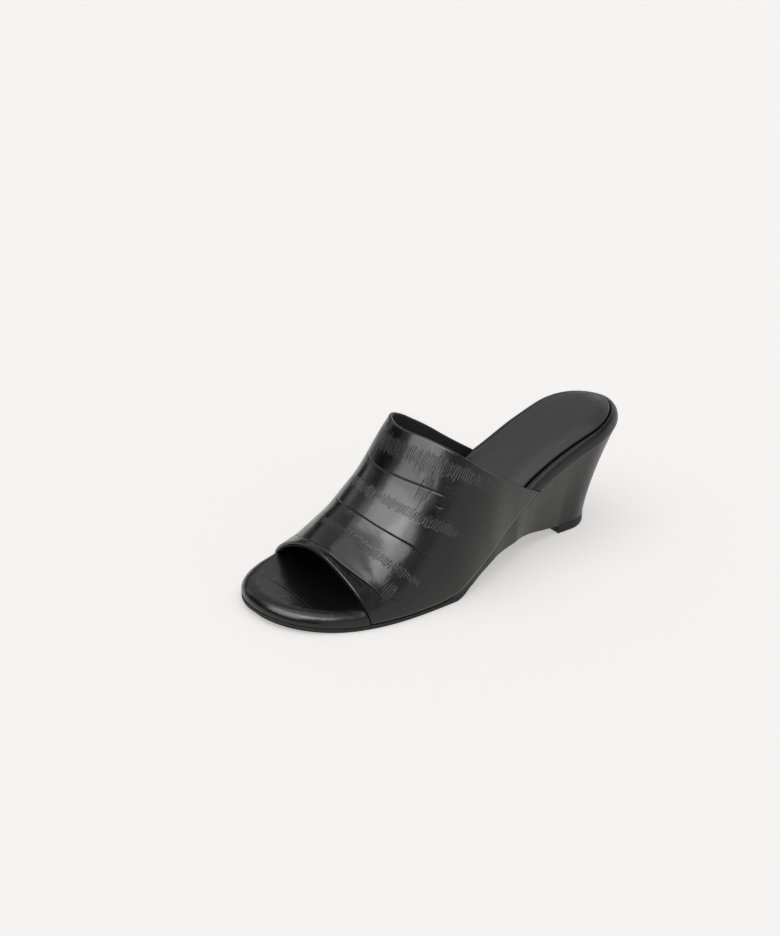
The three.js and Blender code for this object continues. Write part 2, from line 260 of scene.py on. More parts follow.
def layered(tree, *layers):  # the sum of textures, each times its weight
    height = times(tree, *layers[0])
    for texture, depth in layers[1:]:
        height = plus(tree, height, times(tree, texture, depth))
    return height


def ranged(tree, value, fromLow, fromHigh, toLow, toHigh):
    return addNode(
        tree, "ShaderNodeMapRange", {"interpolation_type": "SMOOTHSTEP"},
        i0=value, i1=fromLow, i2=fromHigh, i3=toLow, i4=toHigh,
    )[0]


def scaledBy(tree, vector, x, y, z):
    return addNode(
        tree, "ShaderNodeVectorMath", {"operation": "MULTIPLY"}, i0=vector, i1=(x, y, z)
    )[0]


def noise(tree, vector, scale, detail=2.0, roughness=0.5, distortion=0.0):
    return addNode(
        tree, "ShaderNodeTexNoise", None,
        Vector=vector, Scale=scale, Detail=detail, Roughness=roughness, Distortion=distortion,
    )[0]


def cells(tree, vector, scale):
    return addNode(tree, "ShaderNodeTexVoronoi", None, Vector=vector, Scale=scale)["Distance"]


def newMaterial(name, colour, gloss):
    material = bpy.data.materials.new(name)
    material.use_nodes = True
    tree = material.node_tree
    shader = tree.nodes["Principled BSDF"]
    shader.inputs["Base Color"].default_value = (*colour, 1)
    for socket, value in gloss.items():
        shader.inputs[socket].default_value = value
    return material, tree, shader


def raised(tree, shader, height, coated=False):  # height is in millimetres
    bump = addNode(tree, "ShaderNodeBump", None, Strength=1.0, Distance=mm, Height=height)[0]
    tree.links.new(bump, shader.inputs["Normal"])
    if coated:
        tree.links.new(bump, shader.inputs["Coat Normal"])


def objectPlace(tree):
    return addNode(tree, "ShaderNodeTexCoord")["Object"]


def attribute(tree, name, output="Fac"):
    return addNode(tree, "ShaderNodeAttribute", {"attribute_name": name})[output]


# The upper: one band of glossy pleated leather, with its seams, hem and lining

upper = {
    "wall": 1.9,
    "leastWall": 0.3,  # left where its edges turn in
    "height": 78.0,
    "collarOuter": 0.3063,  # shares of the shoe's length
    "collarInner": 0.2987,
    "collarCrest": 0.5962,
    "collarSweep": {"outer": 0.75, "inner": 0.52, "power": 1.5},
    "toeSide": 0.827,
    "toeCrest": 0.8523,
    "toePower": 1.18,
    "ridgeReach": 0.2,  # shares of the way down to the sole, where a line keeps its place on the
    "sideReach": 0.6,  # ridge, and over which it shifts to its place at the side
    "around": 232,  # facets round the foot
    "rows": (28, 38, 44, 16),  # facets of each strip of skin, from the collar to the toe edge
    "lowCrowding": 0.85,  # how closely the facets crowd near the sole, and beside a seam
    "seamCrowding": 0.82,
    "edgeRadius": 0.9,
    "featherHeight": 3.2,  # where the band turns in under the board
    "featherRadius": 6.5,
    "footFade": 6.0,  # the relief fades out towards the sole, and towards both open edges
    "edgeStart": 0.5,
    "edgeFade": 3.0,
    "sideCalm": 0.75,  # how much flatter the pillows and the hem are at the sides
    "seamDepth": 0.26,
    "seamWidth": 0.3,
    "seamLip": 0.035,
    "lipAway": 0.8,
    "lipWidth": 0.6,
    "seamFade": 10,  # degrees over which a seam ends
    "dullWidth": 0.4,  # the leather is duller in the seam
    "pillow": 0.14,
    "hemSlope": 0.12,  # the hem stands off evenly towards the toe edge
    "hemStart": 4.0,  # from this far behind its seam
    "pleatMiddle": 68,  # degrees round the foot
    "pleatHalf": 36,
    "pleatFade": 24,
    "wrinkle": 0.9,  # how strong wrinkles are beside the pleats
}
upperTable = [
    {"at": 0.3, "height": 1.247, "ridge": -0.172, "lean": -0.2, "full": 0.2},
    {"at": 0.42, "height": 1.246, "ridge": -0.163, "lean": -0.15, "full": 0.085},
    {"at": 0.5, "height": 1.163, "ridge": -0.128, "lean": -0.107, "full": 0.02},
    {"at": 0.58, "height": 0.997, "ridge": -0.093, "lean": -0.064, "full": -0.027},
    {"at": 0.66, "height": 0.705, "ridge": -0.059, "lean": 0.007, "full": -0.061},
    {"at": 0.74, "height": 0.499, "ridge": -0.024, "lean": 0.1, "full": -0.085},
    {"at": 0.82, "height": 0.366, "ridge": 0.01, "lean": 0.204, "full": -0.101},
    {"at": 0.9, "height": 0.297, "ridge": 0.045, "lean": 0.294, "full": -0.114},
]
# Seams between strips of skin, as shares of the way from the collar to the toe edge, and the angles
# between which each shows
seamTable = [
    {"crest": 0.0, "side": 0.0},
    {"crest": 0.224, "side": 0.19, "from": 112, "to": 46},
    {"crest": 0.548, "side": 0.492, "from": 122, "to": 22},
    {"crest": 0.934, "side": 0.868, "from": 160, "to": 24},
    {"crest": 1.0, "side": 1.0},
]
# Bands of fine pleats along the middle of each strip, and half their width in millimetres
pleatTable = [
    {"crest": 0.1, "side": 0.056, "width": 3.4},
    {"crest": 0.38, "side": 0.32, "width": 2.7},
    {"crest": 0.722, "side": 0.665, "width": 2.5},
]
# Patches of wrinkles that run on from the pleats: reach is in millimetres round and down
wrinkleTable = [
    {"down": 0.11, "round": 24, "reachRound": 9, "reachDown": 4.5},
    {"down": 0.2, "round": 30, "reachRound": 4, "reachDown": 9},
    {"down": 0.57, "round": 0, "reachRound": 4, "reachDown": 2},
    {"down": 0.83, "round": 45, "reachRound": 4, "reachDown": 6},
]
# Main creases as soft troughs and ridges: down is the share of the way to the toe edge, round is in
# millimetres from the ridge towards the outer side, turn is in degrees from square across
creaseTable = [
    {"down": 0.17, "round": 31, "length": 7, "width": 2.6, "depth": 0.22, "turn": 62},
    {"down": 0.33, "round": 6, "length": 16, "width": 5, "depth": 0.1, "turn": 0},
    {"down": 0.46, "round": 12, "length": 12, "width": 7, "depth": 0.15, "turn": 20},
    {"down": 0.64, "round": 12, "length": 16, "width": 5, "depth": 0.22, "turn": -6},
    {"down": 0.79, "round": 30, "length": 12, "width": 4, "depth": 0.2, "turn": 30},
    {"down": 0.84, "round": 20, "length": 22, "width": 5, "depth": -0.25, "turn": 4},
    {"down": 0.3, "round": -34, "length": 22, "width": 7, "depth": 0.25, "turn": 15},
    {"down": 0.6, "round": -30, "length": 20, "width": 6, "depth": 0.3, "turn": -12},
]
upperCurves = {key: curve(upperTable, key) for key in ("height", "ridge", "lean", "full")}
ballWidth = shoe["ballOuter"] + shoe["ballInner"]


def bandPoint(along, angle):  # angle runs from 0 at the outer side over the ridge to pi
    at = along / shoe["length"]
    c = cos(angle)
    s = sin(angle)
    half = halfOuter(along) if c >= 0 else halfInner(along)
    crest = upperCurves["ridge"](at) * ballWidth
    across = c * (1 - upperCurves["lean"](at) * s * s)
    up = s * (1 + upperCurves["full"](at) * c * c)
    height = upper["height"] * upperCurves["height"](at)
    return Vector((crest * s * s + half * across, -along, featherLine(along) + height * up))


def bandNormal(along, angle):  # from points half a millimetre and a hundredth of a radian away
    lengthwise = bandPoint(along + 0.5, angle) - bandPoint(along - 0.5, angle)
    around = bandPoint(along, min(pi, angle + 0.01)) - bandPoint(along, max(0, angle - 0.01))
    return around.cross(lengthwise).normalized()


def collarAt(angle):
    side = "outer" if cos(angle) >= 0 else "inner"
    low = upper["collarOuter" if side == "outer" else "collarInner"]
    sweep = upper["collarSweep"]
    climb = sin(angle)
    forward = climb * (1 + sweep[side] * (1 - climb) ** sweep["power"])
    return shoe["length"] * mix(low, upper["collarCrest"], forward)


def toeEdgeAt(angle):
    forward = sin(angle) ** upper["toePower"]
    return shoe["length"] * mix(upper["toeSide"], upper["toeCrest"], forward)


def sideShare(angle):  # 0 on the ridge, 1 near the sole
    low = abs(angle - pi / 2) / (pi / 2)
    return smooth((low - upper["ridgeReach"]) / upper["sideReach"])


def shareDown(row, angle):  # a row's share of the way from the collar to the toe edge
    strip = 0
    while strip < len(upper["rows"]) - 1 and row > upper["rows"][strip]:
        row -= upper["rows"][strip]
        strip += 1
    share = row / upper["rows"][strip]
    share -= upper["seamCrowding"] * sin(2 * pi * share) / (2 * pi)
    side = sideShare(angle)
    low, high = (mix(seam["crest"], seam["side"], side) for seam in seamTable[strip:strip + 2])
    return mix(low, high, share)


def bandRelief(down, angle, around, reach):  # millimetres out from the plain band
    side = sideShare(angle)
    fade = 1 - upper["sideCalm"] * side ** 2
    seams = [mix(seam["crest"], seam["side"], side) for seam in seamTable]
    height = 0
    for seam, line in zip(seams[1:-1], seamTable[1:-1]):
        away = (down - seam) * reach
        shown = seamShown(line, angle)
        height -= upper["seamDepth"] * shown * exp(-((away / upper["seamWidth"]) ** 2))
        lip = (away - upper["lipAway"]) / upper["lipWidth"]
        height += upper["seamLip"] * shown * exp(-(lip ** 2))
    for low, high in zip(seams, seams[1:]):
        if low <= down <= high:
            height += upper["pillow"] * fade * (sin(pi * (down - low) / (high - low)) - 0.5)
    pastStart = max(0, (down - seams[3]) * reach + upper["hemStart"])
    bend = min(pastStart, upper["hemStart"])
    hem = upper["hemSlope"] * fade * (pastStart - bend + bend * bend / (2 * upper["hemStart"]))
    for crease in creaseTable:
        dx = around - crease["round"]
        dy = (down - crease["down"]) * reach
        turn = radians(crease["turn"])
        lengthwise = dx * cos(turn) + dy * sin(turn)
        across = dy * cos(turn) - dx * sin(turn)
        shape = exp(-((lengthwise / crease["length"]) ** 2) - (across / crease["width"]) ** 2)
        height -= crease["depth"] * shape
    edge = min(down, 1 - down) * reach
    return height * smooth((edge - upper["edgeStart"]) / upper["edgeFade"]) + hem


def seamShown(line, angle):  # 1 where the seam shows, fading out at its ends
    degrees = angle * 180 / pi
    fade = upper["seamFade"]
    enter = smooth((degrees - line["to"] + fade / 2) / fade)
    return enter * smooth((line["from"] + fade / 2 - degrees) / fade)


def pleatMask(down, angle, around, reach):
    side = sideShare(angle)
    mask = 0
    for band in pleatTable:
        away = (down - mix(band["crest"], band["side"], side)) * reach
        mask = max(mask, exp(-((away / band["width"]) ** 2)))
    away = abs(angle - radians(upper["pleatMiddle"])) - radians(upper["pleatHalf"])
    mask *= 1 - smooth(away / radians(upper["pleatFade"]))
    for patch in wrinkleTable:
        dx = (around - patch["round"]) / patch["reachRound"]
        dy = (down - patch["down"]) * reach / patch["reachDown"]
        mask = max(mask, upper["wrinkle"] * exp(-dx * dx - dy * dy))
    return mask


def bandAngles():
    turns = [2 * pi * i / upper["around"] for i in range(upper["around"] + 1)]
    return [(turn - upper["lowCrowding"] * sin(turn)) / 2 for turn in turns]


def plainBand(angles):  # its points row by row, each with how far round it is from the ridge
    rows = []
    crest = len(angles) // 2
    for row in range(sum(upper["rows"]) + 1):
        line = []
        for angle in angles:
            down = shareDown(row, angle)
            along = mix(collarAt(angle), toeEdgeAt(angle), down)
            point = bandPoint(along, angle)
            line.append({"angle": angle, "down": down, "along": along, "point": point})
        walked = 0
        for i, spot in enumerate(line):
            walked += (spot["point"] - line[max(0, i - 1)]["point"]).length
            spot["round"] = walked
        middle = line[crest]["round"]
        for spot in line:
            spot["round"] = middle - spot["round"]
        rows.append(line)
    return rows


def bandLayer(bm, band, inside):
    rows = sum(upper["rows"])
    around = upper["around"]
    pattern = bm.verts.layers.float_vector["pattern"]
    pleats = bm.verts.layers.float["pleats"]
    seamLine = bm.verts.layers.float["seams"]
    made = bmesh.ops.create_grid(bm, x_segments=around, y_segments=rows, size=0.5)["verts"]
    stretches = [stretchOf(spot["angle"]) for spot in band[0]]
    for vert in made:
        column = round((vert.co.x + 0.5) * around)
        row = round((vert.co.y + 0.5) * rows)
        spot = band[row][column]
        angle = spot["angle"]
        down = spot["down"]
        along = spot["along"]
        span = (toeEdgeAt(angle) - collarAt(angle)) * stretches[column]
        edge = min(down, 1 - down) * span
        foot = band[row][0 if angle < pi / 2 else around]
        low = (spot["point"] - foot["point"]).length
        rounded = roundedBy(edge, upper["edgeRadius"])
        if inside:
            lift = rounded - upper["wall"]
        else:
            turnedIn = max(0, upper["featherHeight"] - low) ** 2 / (2 * upper["featherRadius"])
            relief = bandRelief(down, angle, spot["round"], span) * smooth(low / upper["footFade"])
            lift = relief - min(upper["wall"] - upper["leastWall"], rounded + turnedIn)
        point = spot["point"] + bandNormal(along, angle) * lift
        vert[pattern] = (spot["round"] * mm, along * mm, 0)
        vert[pleats] = 0 if inside else pleatMask(down, angle, spot["round"], span)
        vert[seamLine] = 0 if inside else seamMask(down, angle, span)
        vert.co = toFrame(point.x, -point.y, point.z)
    return made


def roundedBy(distance, radius):  # how far a rounded edge falls back
    near = clamp(1 - distance / radius)
    return radius * (1 - sqrt(1 - near * near))


def seamMask(down, angle, reach):
    side = sideShare(angle)
    mask = 0
    for line in seamTable[1:-1]:
        away = (down - mix(line["crest"], line["side"], side)) * reach
        mask = max(mask, seamShown(line, angle) * exp(-((away / upper["dullWidth"]) ** 2)))
    return mask


def stretchOf(angle):  # length over the surface for each millimetre along, in mid band
    middle = (collarAt(angle) + toeEdgeAt(angle)) / 2
    return (bandPoint(middle + 1, angle) - bandPoint(middle - 1, angle)).length / 2


blackLeather = (0.0025, 0.0028, 0.0032)
leatherGloss = {"Roughness": 0.26, "IOR": 1.41, "Coat Weight": 0.25, "Coat Roughness": 0.1}
# Short nicks beside the seams: round and along in millimetres, as in the pattern
nickTable = [
    {"round": 40.0, "along": 137.8, "length": 5.0, "width": 0.5, "turn": -35},
    {"round": 43.5, "along": 137.2, "length": 5.0, "width": 0.5, "turn": -35},
    {"round": 39.0, "along": 145.5, "length": 3.0, "width": 0.6, "turn": -30},
    {"round": 41.0, "along": 144.2, "length": 2.8, "width": 0.6, "turn": -40},
    {"round": 42.5, "along": 142.4, "length": 2.6, "width": 0.6, "turn": -30},
    {"round": 48.0, "along": 182.5, "length": 3.6, "width": 0.6, "turn": -40},
    {"round": 49.5, "along": 180.5, "length": 3.6, "width": 0.6, "turn": -40},
]


def nicksOf(tree, place):  # a narrow blob for each, 1 in its middle
    depth = 0.0
    for nick in nickTable:
        turned = addNode(
            tree, "ShaderNodeMapping", {"vector_type": "TEXTURE"},
            Vector=place,
            Location=(nick["round"] * mm, nick["along"] * mm, 0),
            Rotation=(0, 0, radians(nick["turn"])),
            Scale=(nick["length"] * mm, nick["width"] * mm, 1),
        )[0]
        blob = addNode(tree, "ShaderNodeTexGradient", {"gradient_type": "SPHERICAL"}, Vector=turned)
        depth = plus(tree, blob["Fac"], depth)
    return depth


pleatLook = {
    "scale": 250,
    "start": 1.25,  # the mask at which folds begin, and at which they are full
    "full": 1.65,
    "strokes": 1.3,  # how ragged the rows are, in fine strokes and in patches
    "patches": 0.6,
    "fold": -0.14,  # depths in millimetres
    "nick": -0.12,
    "dull": 0.25,
}


def pleatFolds(tree, place, pleats):  # 1 in the grooves between the pleats
    folds = addNode(
        tree, "ShaderNodeTexWave", {"wave_type": "BANDS", "bands_direction": "X"},
        **{
            "Vector": place, "Scale": pleatLook["scale"], "Distortion": 3.2,
            "Detail": 1.0, "Detail Scale": 0.6,
        },
    )["Fac"]
    strokes = noise(tree, scaledBy(tree, place, 520, 70, 1), 1.0, 1, 0.5)
    patches = noise(tree, place, 150, 1, 0.5)
    ragged = layered(tree, (strokes, pleatLook["strokes"]), (patches, pleatLook["patches"]))
    shown = plus(tree, pleats, ragged)
    mask = ranged(tree, shown, pleatLook["start"], pleatLook["full"], 0.0, 1.0)
    uneven = noise(tree, scaledBy(tree, place, 500, 200, 1), 1.0, 1, 0.5)
    grooves = times(tree, ranged(tree, folds, 0.1, 0.6, 1.0, 0.0), mask)
    return times(tree, grooves, ranged(tree, uneven, 0.3, 0.55, 0.4, 1.0))


def glossyLeather():
    material, tree, shader = newMaterial("glossyLeather", blackLeather, leatherGloss)
    place = attribute(tree, "pattern", "Vector")
    seams = attribute(tree, "seams")
    waves = noise(tree, place, 90, 2.5, 0.5, 0.4)
    streaks = noise(tree, scaledBy(tree, place, 450, 110, 1), 1.0, 3, 0.6, 0.3)
    creep = noise(tree, scaledBy(tree, place, 130, 480, 1), 1.0, 3, 0.6, 0.3)
    grain = cells(tree, place, 1500)
    grooves = pleatFolds(tree, place, attribute(tree, "pleats"))
    height = layered(
        tree, (waves, 0.1), (streaks, 0.025), (creep, 0.03), (grain, 0.01),
        (grooves, pleatLook["fold"]), (nicksOf(tree, place), pleatLook["nick"]),
    )
    rough = layered(tree, (grooves, pleatLook["dull"]), (seams, pleatLook["dull"]))
    rough = plus(tree, rough, ranged(tree, waves, 0.3, 0.7, 0.22, 0.3))
    tree.links.new(rough, shader.inputs["Roughness"])
    raised(tree, shader, height, coated=True)
    return material


def liningLeather():
    look = {"Roughness": 0.6, "IOR": 1.45, "Sheen Weight": 0.1, "Sheen Roughness": 0.5}
    material, tree, shader = newMaterial("liningLeather", (0.005, 0.005, 0.0055), look)
    place = attribute(tree, "pattern", "Vector")
    fibre = noise(tree, place, 300, 3)
    raised(tree, shader, layered(tree, (fibre, 0.06), (cells(tree, place, 1800), 0.02)))
    return material


def makeUpper():
    bm = bmesh.new()
    bm.verts.layers.float_vector.new("pattern")
    bm.verts.layers.float.new("pleats")
    bm.verts.layers.float.new("seams")
    band = plainBand(bandAngles())
    outer = bandLayer(bm, band, inside=False)
    inner = bandLayer(bm, band, inside=True)
    innerVerts = set(inner)
    for face in bm.faces:
        if face.verts[0] in innerVerts:
            face.material_index = 1
    rim = [edge for edge in bm.edges if edge.is_boundary]
    faces = bmesh.ops.bridge_loops(bm, edges=rim)["faces"]
    print("upper: bridged", len(faces), "rim faces of", len(outer) + len(inner), "points")
    piece = finished(bm, "upperBand", "upper", glossyLeather(), sharpAngle=75)
    piece.data.materials.append(liningLeather())
    return piece


# The footbed: a board in a wrapped leather cover, glossy at the toe and satin at the heel

footbed = {
    "heelThickness": 6.6,
    "toeThickness": 7.2,
    "thickenStart": 0.45,  # shares of the shoe's length
    "thickenEnd": 0.8,
    "heelRim": 3.7,  # how wide the rim's round is
    "toeRim": 7.5,
    "rimStart": 0.8,
    "rimReach": 0.06,
    "rimSteps": 10,
    "widestAt": 0.2,  # share of the rim's height
    "lowerEdge": 0.8,  # the cover turns in under the board by this much
    "sockInset": 6.3,
    "heelInset": 4.9,
    "insetStart": 0.08,  # from the heel's inset to the sock's
    "insetReach": 0.27,
    "sockRecess": 1.3,
    "sockFront": 0.768,
    "seatFade": 6.0,
    "facets": 150,
    "closingSteps": 16,
    "cutStep": 0.45,  # facets where the band's edge cuts the rim
    "collarCuts": {"before": 2, "count": 40},
    "toeCuts": {"before": 1, "count": 12},
}
# The wall of the sock's seat: how far it is from the sock's edge, how far at least from the rim's
# round, and how much of the seat's depth it has come down
seatTable = [
    {"aside": -0.85, "pastRim": 0.05, "sunk": 0},
    {"aside": -0.6, "pastRim": 0.25, "sunk": 0.12},
    {"aside": -0.18, "pastRim": 0.5, "sunk": 0.8},
    {"aside": 0.0, "pastRim": 0.9, "sunk": 1},
]


def footbedThickness(along):
    start = footbed["thickenStart"]
    share = clamp((along / shoe["length"] - start) / (footbed["thickenEnd"] - start))
    return mix(footbed["heelThickness"], footbed["toeThickness"], share)


def bandSide(along, height, outerSide):  # how far out the band's inner face is at a height
    at = along / shoe["length"]
    s = clamp(height / (upper["height"] * upperCurves["height"](at)), 0, 0.9)
    half = halfOuter(along) if outerSide else halfInner(along)
    sign = 1 if outerSide else -1
    crest = upperCurves["ridge"](at) * ballWidth * s * s * sign
    width = crest + half * sqrt(1 - s * s) * (1 - upperCurves["lean"](at) * s * s)
    return width - upper["wall"] - shoe["gap"], asin(s)


def underBand(x, along, height):  # the rim is cut back where the band passes
    outerSide = x >= 0
    limit, angle = bandSide(along, height, outerSide)
    angle = angle if outerSide else pi - angle
    covered = collarAt(angle) - shoe["gap"] <= along <= toeEdgeAt(angle) + shoe["gap"]
    if covered and abs(x) > limit:
        return limit if outerSide else -limit
    return x


def roundedEdge(width, bottom, top, steps):
    rings = []
    for i in range(steps + 1):
        angle = pi * (i / steps - 0.5)
        rise = (1 + sin(angle)) / 2
        level = lambda along, rise=rise: mix(bottom(along), top(along), rise)
        rings.append((width * (1 - cos(angle)), level))
    return rings


def plateRings(loop, base, levels, cut=None):
    rings = []
    for inset, heightAt in levels:
        ring = []
        for x, along in drawnIn(loop, inset):
            height = heightAt(along)
            if cut:
                x = cut(x, along, height)
            ring.append(toFrame(x, along, base(along) + height))
        rings.append(ring)
    return rings


def closingRings(loop, inset, base, heightAt, shares, liftAt=None):  # liftAt takes the distance in
    drawn = drawnIn(loop, inset)
    first = min(along for x, along in drawn)
    last = max(along for x, along in drawn)
    rings = []
    for share in shares:
        ring = []
        for (x, along), edge in zip(towardsMiddle(drawn, share), drawn):
            height = heightAt(along)
            if liftAt:
                height += liftAt(min(abs(x - edge[0]), along - first, last - along))
            ring.append(toFrame(x, along, base(along) + height))
        rings.append(ring)
    return rings


def seatDepth(along):
    end = footbed["sockFront"] * shoe["length"] + footbed["seatFade"]
    return footbed["sockRecess"] * clamp((end - along) / footbed["seatFade"])


def footbedLeather():
    material, tree, shader = newMaterial("footbedLeather", (0.0035, 0.0038, 0.0042), leatherGloss)
    place = objectPlace(tree)
    lengthwise = addNode(tree, "ShaderNodeSeparateXYZ", None, Vector=place)[1]
    heel = ranged(tree, lengthwise, -0.03, 0.02, 0.0, 1.0)
    waves = noise(tree, place, 80, 2.5, 0.5, 0.4)
    streaks = noise(tree, scaledBy(tree, place, 420, 90, 200), 1.0, 3, 0.6, 0.3)
    grain = cells(tree, place, 1500)
    toeHeight = layered(tree, (waves, 0.4), (streaks, 0.12))
    heelHeight = layered(tree, (grain, 0.02), (waves, 0.05))
    toe = ranged(tree, heel, 0, 1, 1, 0)
    height = layered(tree, (toeHeight, toe), (heelHeight, heel))
    tree.links.new(ranged(tree, heel, 0.0, 1.0, 0.31, 0.45), shader.inputs["Roughness"])
    raised(tree, shader, height, coated=True)
    return material


toeSeam = {
    "middle": 217.4,
    "bow": 0.0042,
    "depth": 0.09,
    "width": 0.3,
    "lip": 0.06,
    "lipAway": 1.0,
    "lipWidth": 0.7,
    "rimShare": 0.4,  # it fades out over this share of the rim's round, within fade
    "fade": 4.0,
    "reach": 4.0,  # points from this far behind it, and this high above the sole, take part
    "floor": 3.0,
    "cutStep": 0.3,  # finer facets, between these steps behind and ahead of it
    "cuts": (-8, 30),
}


def toeSeamRelief(x, along):
    away = along - toeSeam["middle"] - toeSeam["bow"] * x * x
    groove = toeSeam["depth"] * exp(-((away / toeSeam["width"]) ** 2))
    lip = toeSeam["lip"] * exp(-(((away - toeSeam["lipAway"]) / toeSeam["lipWidth"]) ** 2))
    half = halfOuter(along) if x > 0 else halfInner(along)
    inside = half - abs(x) - footbed["toeRim"] * toeSeam["rimShare"]
    return smooth(inside / toeSeam["fade"]) * (lip - groove)


def rimAt(along):
    wide = smooth((along / shoe["length"] - footbed["rimStart"]) / footbed["rimReach"])
    return mix(footbed["heelRim"], footbed["toeRim"], wide)


def sockInsetAt(along):
    share = smooth((along / shoe["length"] - footbed["insetStart"]) / footbed["insetReach"])
    return mix(footbed["heelInset"], footbed["sockInset"], share)


def besideSock(offset, extra):  # a line beside the sock's edge that never crosses the rim's round
    return lambda along: max(sockInsetAt(along) - shoe["gap"] + offset, rimAt(along) + extra)


def sunkTop(share):  # the footbed's top, let down by a share of the seat's depth
    return lambda along: footbedThickness(along) - share * seatDepth(along)


def turnedRim(top):  # a full round above, a tight one below
    steps = footbed["rimSteps"]
    middle = footbed["widestAt"]
    rings = []
    for i in range(2 * steps + 1):
        angle = pi * (i / (2 * steps) - 0.5)
        share = 1 - cos(angle)
        if angle > 0:
            rise = mix(middle, 1, sin(angle))
            inset = lambda along, share=share: share * rimAt(along)
        else:
            rise = middle * (1 + sin(angle))
            inset = footbed["lowerEdge"] * share
        rings.append((inset, lambda along, rise=rise: top(along) * rise))
    return rings


def cutPlaces(start, cuts):  # finer facets from a little behind the start
    return [start - cuts["before"] + footbed["cutStep"] * i for i in range(cuts["count"])]


def makeFootbed():
    length = shoe["length"]
    cuts = cutPlaces(upper["collarInner"] * length, footbed["collarCuts"])
    cuts += cutPlaces(upper["toeSide"] * length, footbed["toeCuts"])
    cuts += [toeSeam["middle"] + toeSeam["cutStep"] * i for i in range(*toeSeam["cuts"])]
    loop = planLoop(0, length, halfOuter, halfInner, footbed["facets"], cuts)
    levels = turnedRim(footbedThickness)
    for row in seatTable:
        levels.append((besideSock(row["aside"], row["pastRim"]), sunkTop(row["sunk"])))
    low = closingShares(4)[::-1]
    rings = closingRings(loop, footbed["lowerEdge"], featherLine, lambda along: 0, low)
    rings += plateRings(loop, featherLine, levels, underBand)
    seatEdge, seat = levels[-1]
    closing = closingShares(footbed["closingSteps"])
    rings += closingRings(loop, seatEdge, featherLine, seat, closing)
    bm = drawnOut(rings)
    for vert in bm.verts:
        x = vert.co.x / mm - shoe["longAxis"]
        along = length / 2 - vert.co.y / mm
        near = along > toeSeam["middle"] - toeSeam["reach"]
        if near and vert.co.z / mm > featherLine(along) + toeSeam["floor"]:
            vert.co.z += toeSeamRelief(x, along) * mm
    return finished(bm, "footbedBoard", "footbed", footbedLeather(), sharpAngle=60)


# The sock: a thin padded sheet in the footbed's seat, bare of print

sock = {
    "thickness": 2.8,
    "edge": 3.0,
    "facets": 130,
    "edgeSteps": 8,
    "closingSteps": 24,
    "crown": 1.5,
    "swell": 10.0,  # from its edge to where it is flat
    "swellPower": 2.5,
    "front": {"reach": 0.14, "power": 2},
}


def sockLeather():
    look = {"Roughness": 0.46, "IOR": 1.5, "Sheen Weight": 0.12, "Sheen Roughness": 0.45}
    material, tree, shader = newMaterial("sockLeather", (0.02, 0.02, 0.0215), look)
    place = objectPlace(tree)
    waves = noise(tree, place, 120, 3, 0.5)
    grain = cells(tree, place, 1300)
    height = layered(tree, (waves, 0.02), (grain, 0.03))
    tree.links.new(ranged(tree, waves, 0.3, 0.7, 0.45, 0.49), shader.inputs["Roughness"])
    raised(tree, shader, height)
    return material


def padLift(distance):
    near = clamp(1 - distance / sock["swell"])
    return sock["crown"] * (1 - near ** sock["swellPower"])


def makeSock():
    length = shoe["length"]
    end = footbed["sockFront"] * length + footbed["sockInset"]
    edge = sock["edge"]

    def narrowed(half):
        return lambda along: half(along) * rounding((end - along) / length, sock["front"])

    def bottom(along):
        return footbedThickness(along) - footbed["sockRecess"] + shoe["gap"]

    def top(along):
        return bottom(along) + sock["thickness"]

    plan = planLoop(0, end, narrowed(halfOuter), narrowed(halfInner), sock["facets"])
    loop = drawnIn(plan, sockInsetAt)
    rings = closingRings(loop, edge, featherLine, bottom, closingShares(2)[::-1])
    rings += plateRings(loop, featherLine, roundedEdge(edge, bottom, top, sock["edgeSteps"]))
    closing = closingShares(sock["closingSteps"])
    rings += closingRings(loop, edge, featherLine, top, closing, padLift)
    piece = finished(drawnOut(rings), "sockPad", "sock", sockLeather(), sharpAngle=60)
    return piece


# The sole: wedge, outsole and top piece

wedge = {
    "front": 0.6076,  # share of the shoe's length
    "inset": 0.7,
    "gap": 0.06,  # the cover runs on from the board's, with only a fine crease between
    "archHeight": 16.0,
    "heelReach": 60.0,  # its back is drawn forward towards the floor, fading over this length
    "waistReach": 2.2,
    "waistPower": 0.9,
    "flarePower": 1.42,
    "facets": 120,
    "flareSteps": 40,
}
archTable = [
    {"at": 0, "rise": 0},
    {"at": 0.15, "rise": 0.28},
    {"at": 0.31, "rise": 0.64},
    {"at": 0.46, "rise": 0.88},
    {"at": 0.6, "rise": 0.88},
    {"at": 0.77, "rise": 0.6},
    {"at": 0.86, "rise": 0.32},
    {"at": 0.93, "rise": 0.07},
    {"at": 0.97, "rise": 0},
]
outsole = {
    "back": 0.5485,  # share of the shoe's length
    "inset": 0.3,
    "chamfer": 0.5,
    "topEdge": 0.25,
    "facets": 120,
}
topPiece = {
    "height": 5.0,
    "back": 20.0,
    "front": 48.0,
    "half": 19.5,
    "lowerEdge": 0.6,
    "upperEdge": 0.3,
    "facets": 60,
}
archRise = curve(archTable, "rise")
wedgeFront = wedge["front"] * shoe["length"]
wedgeSpan = wedgeFront - topPiece["front"]
outsoleBack = outsole["back"] * shoe["length"]


def underside(along):
    arch = wedge["archHeight"] * archRise((along - topPiece["front"]) / wedgeSpan)
    if along > topPiece["front"] + wedgeSpan / 2:
        return arch + toeLift(along)
    crown = wedge["archHeight"] * archRise(0.5)
    return topPiece["height"] + arch * (1 - topPiece["height"] / crown)


def topPieceHalfAt(along):
    share = clamp((along - topPiece["back"]) / topPiece["half"])
    return topPiece["half"] * sqrt(1 - (1 - share) ** 2)


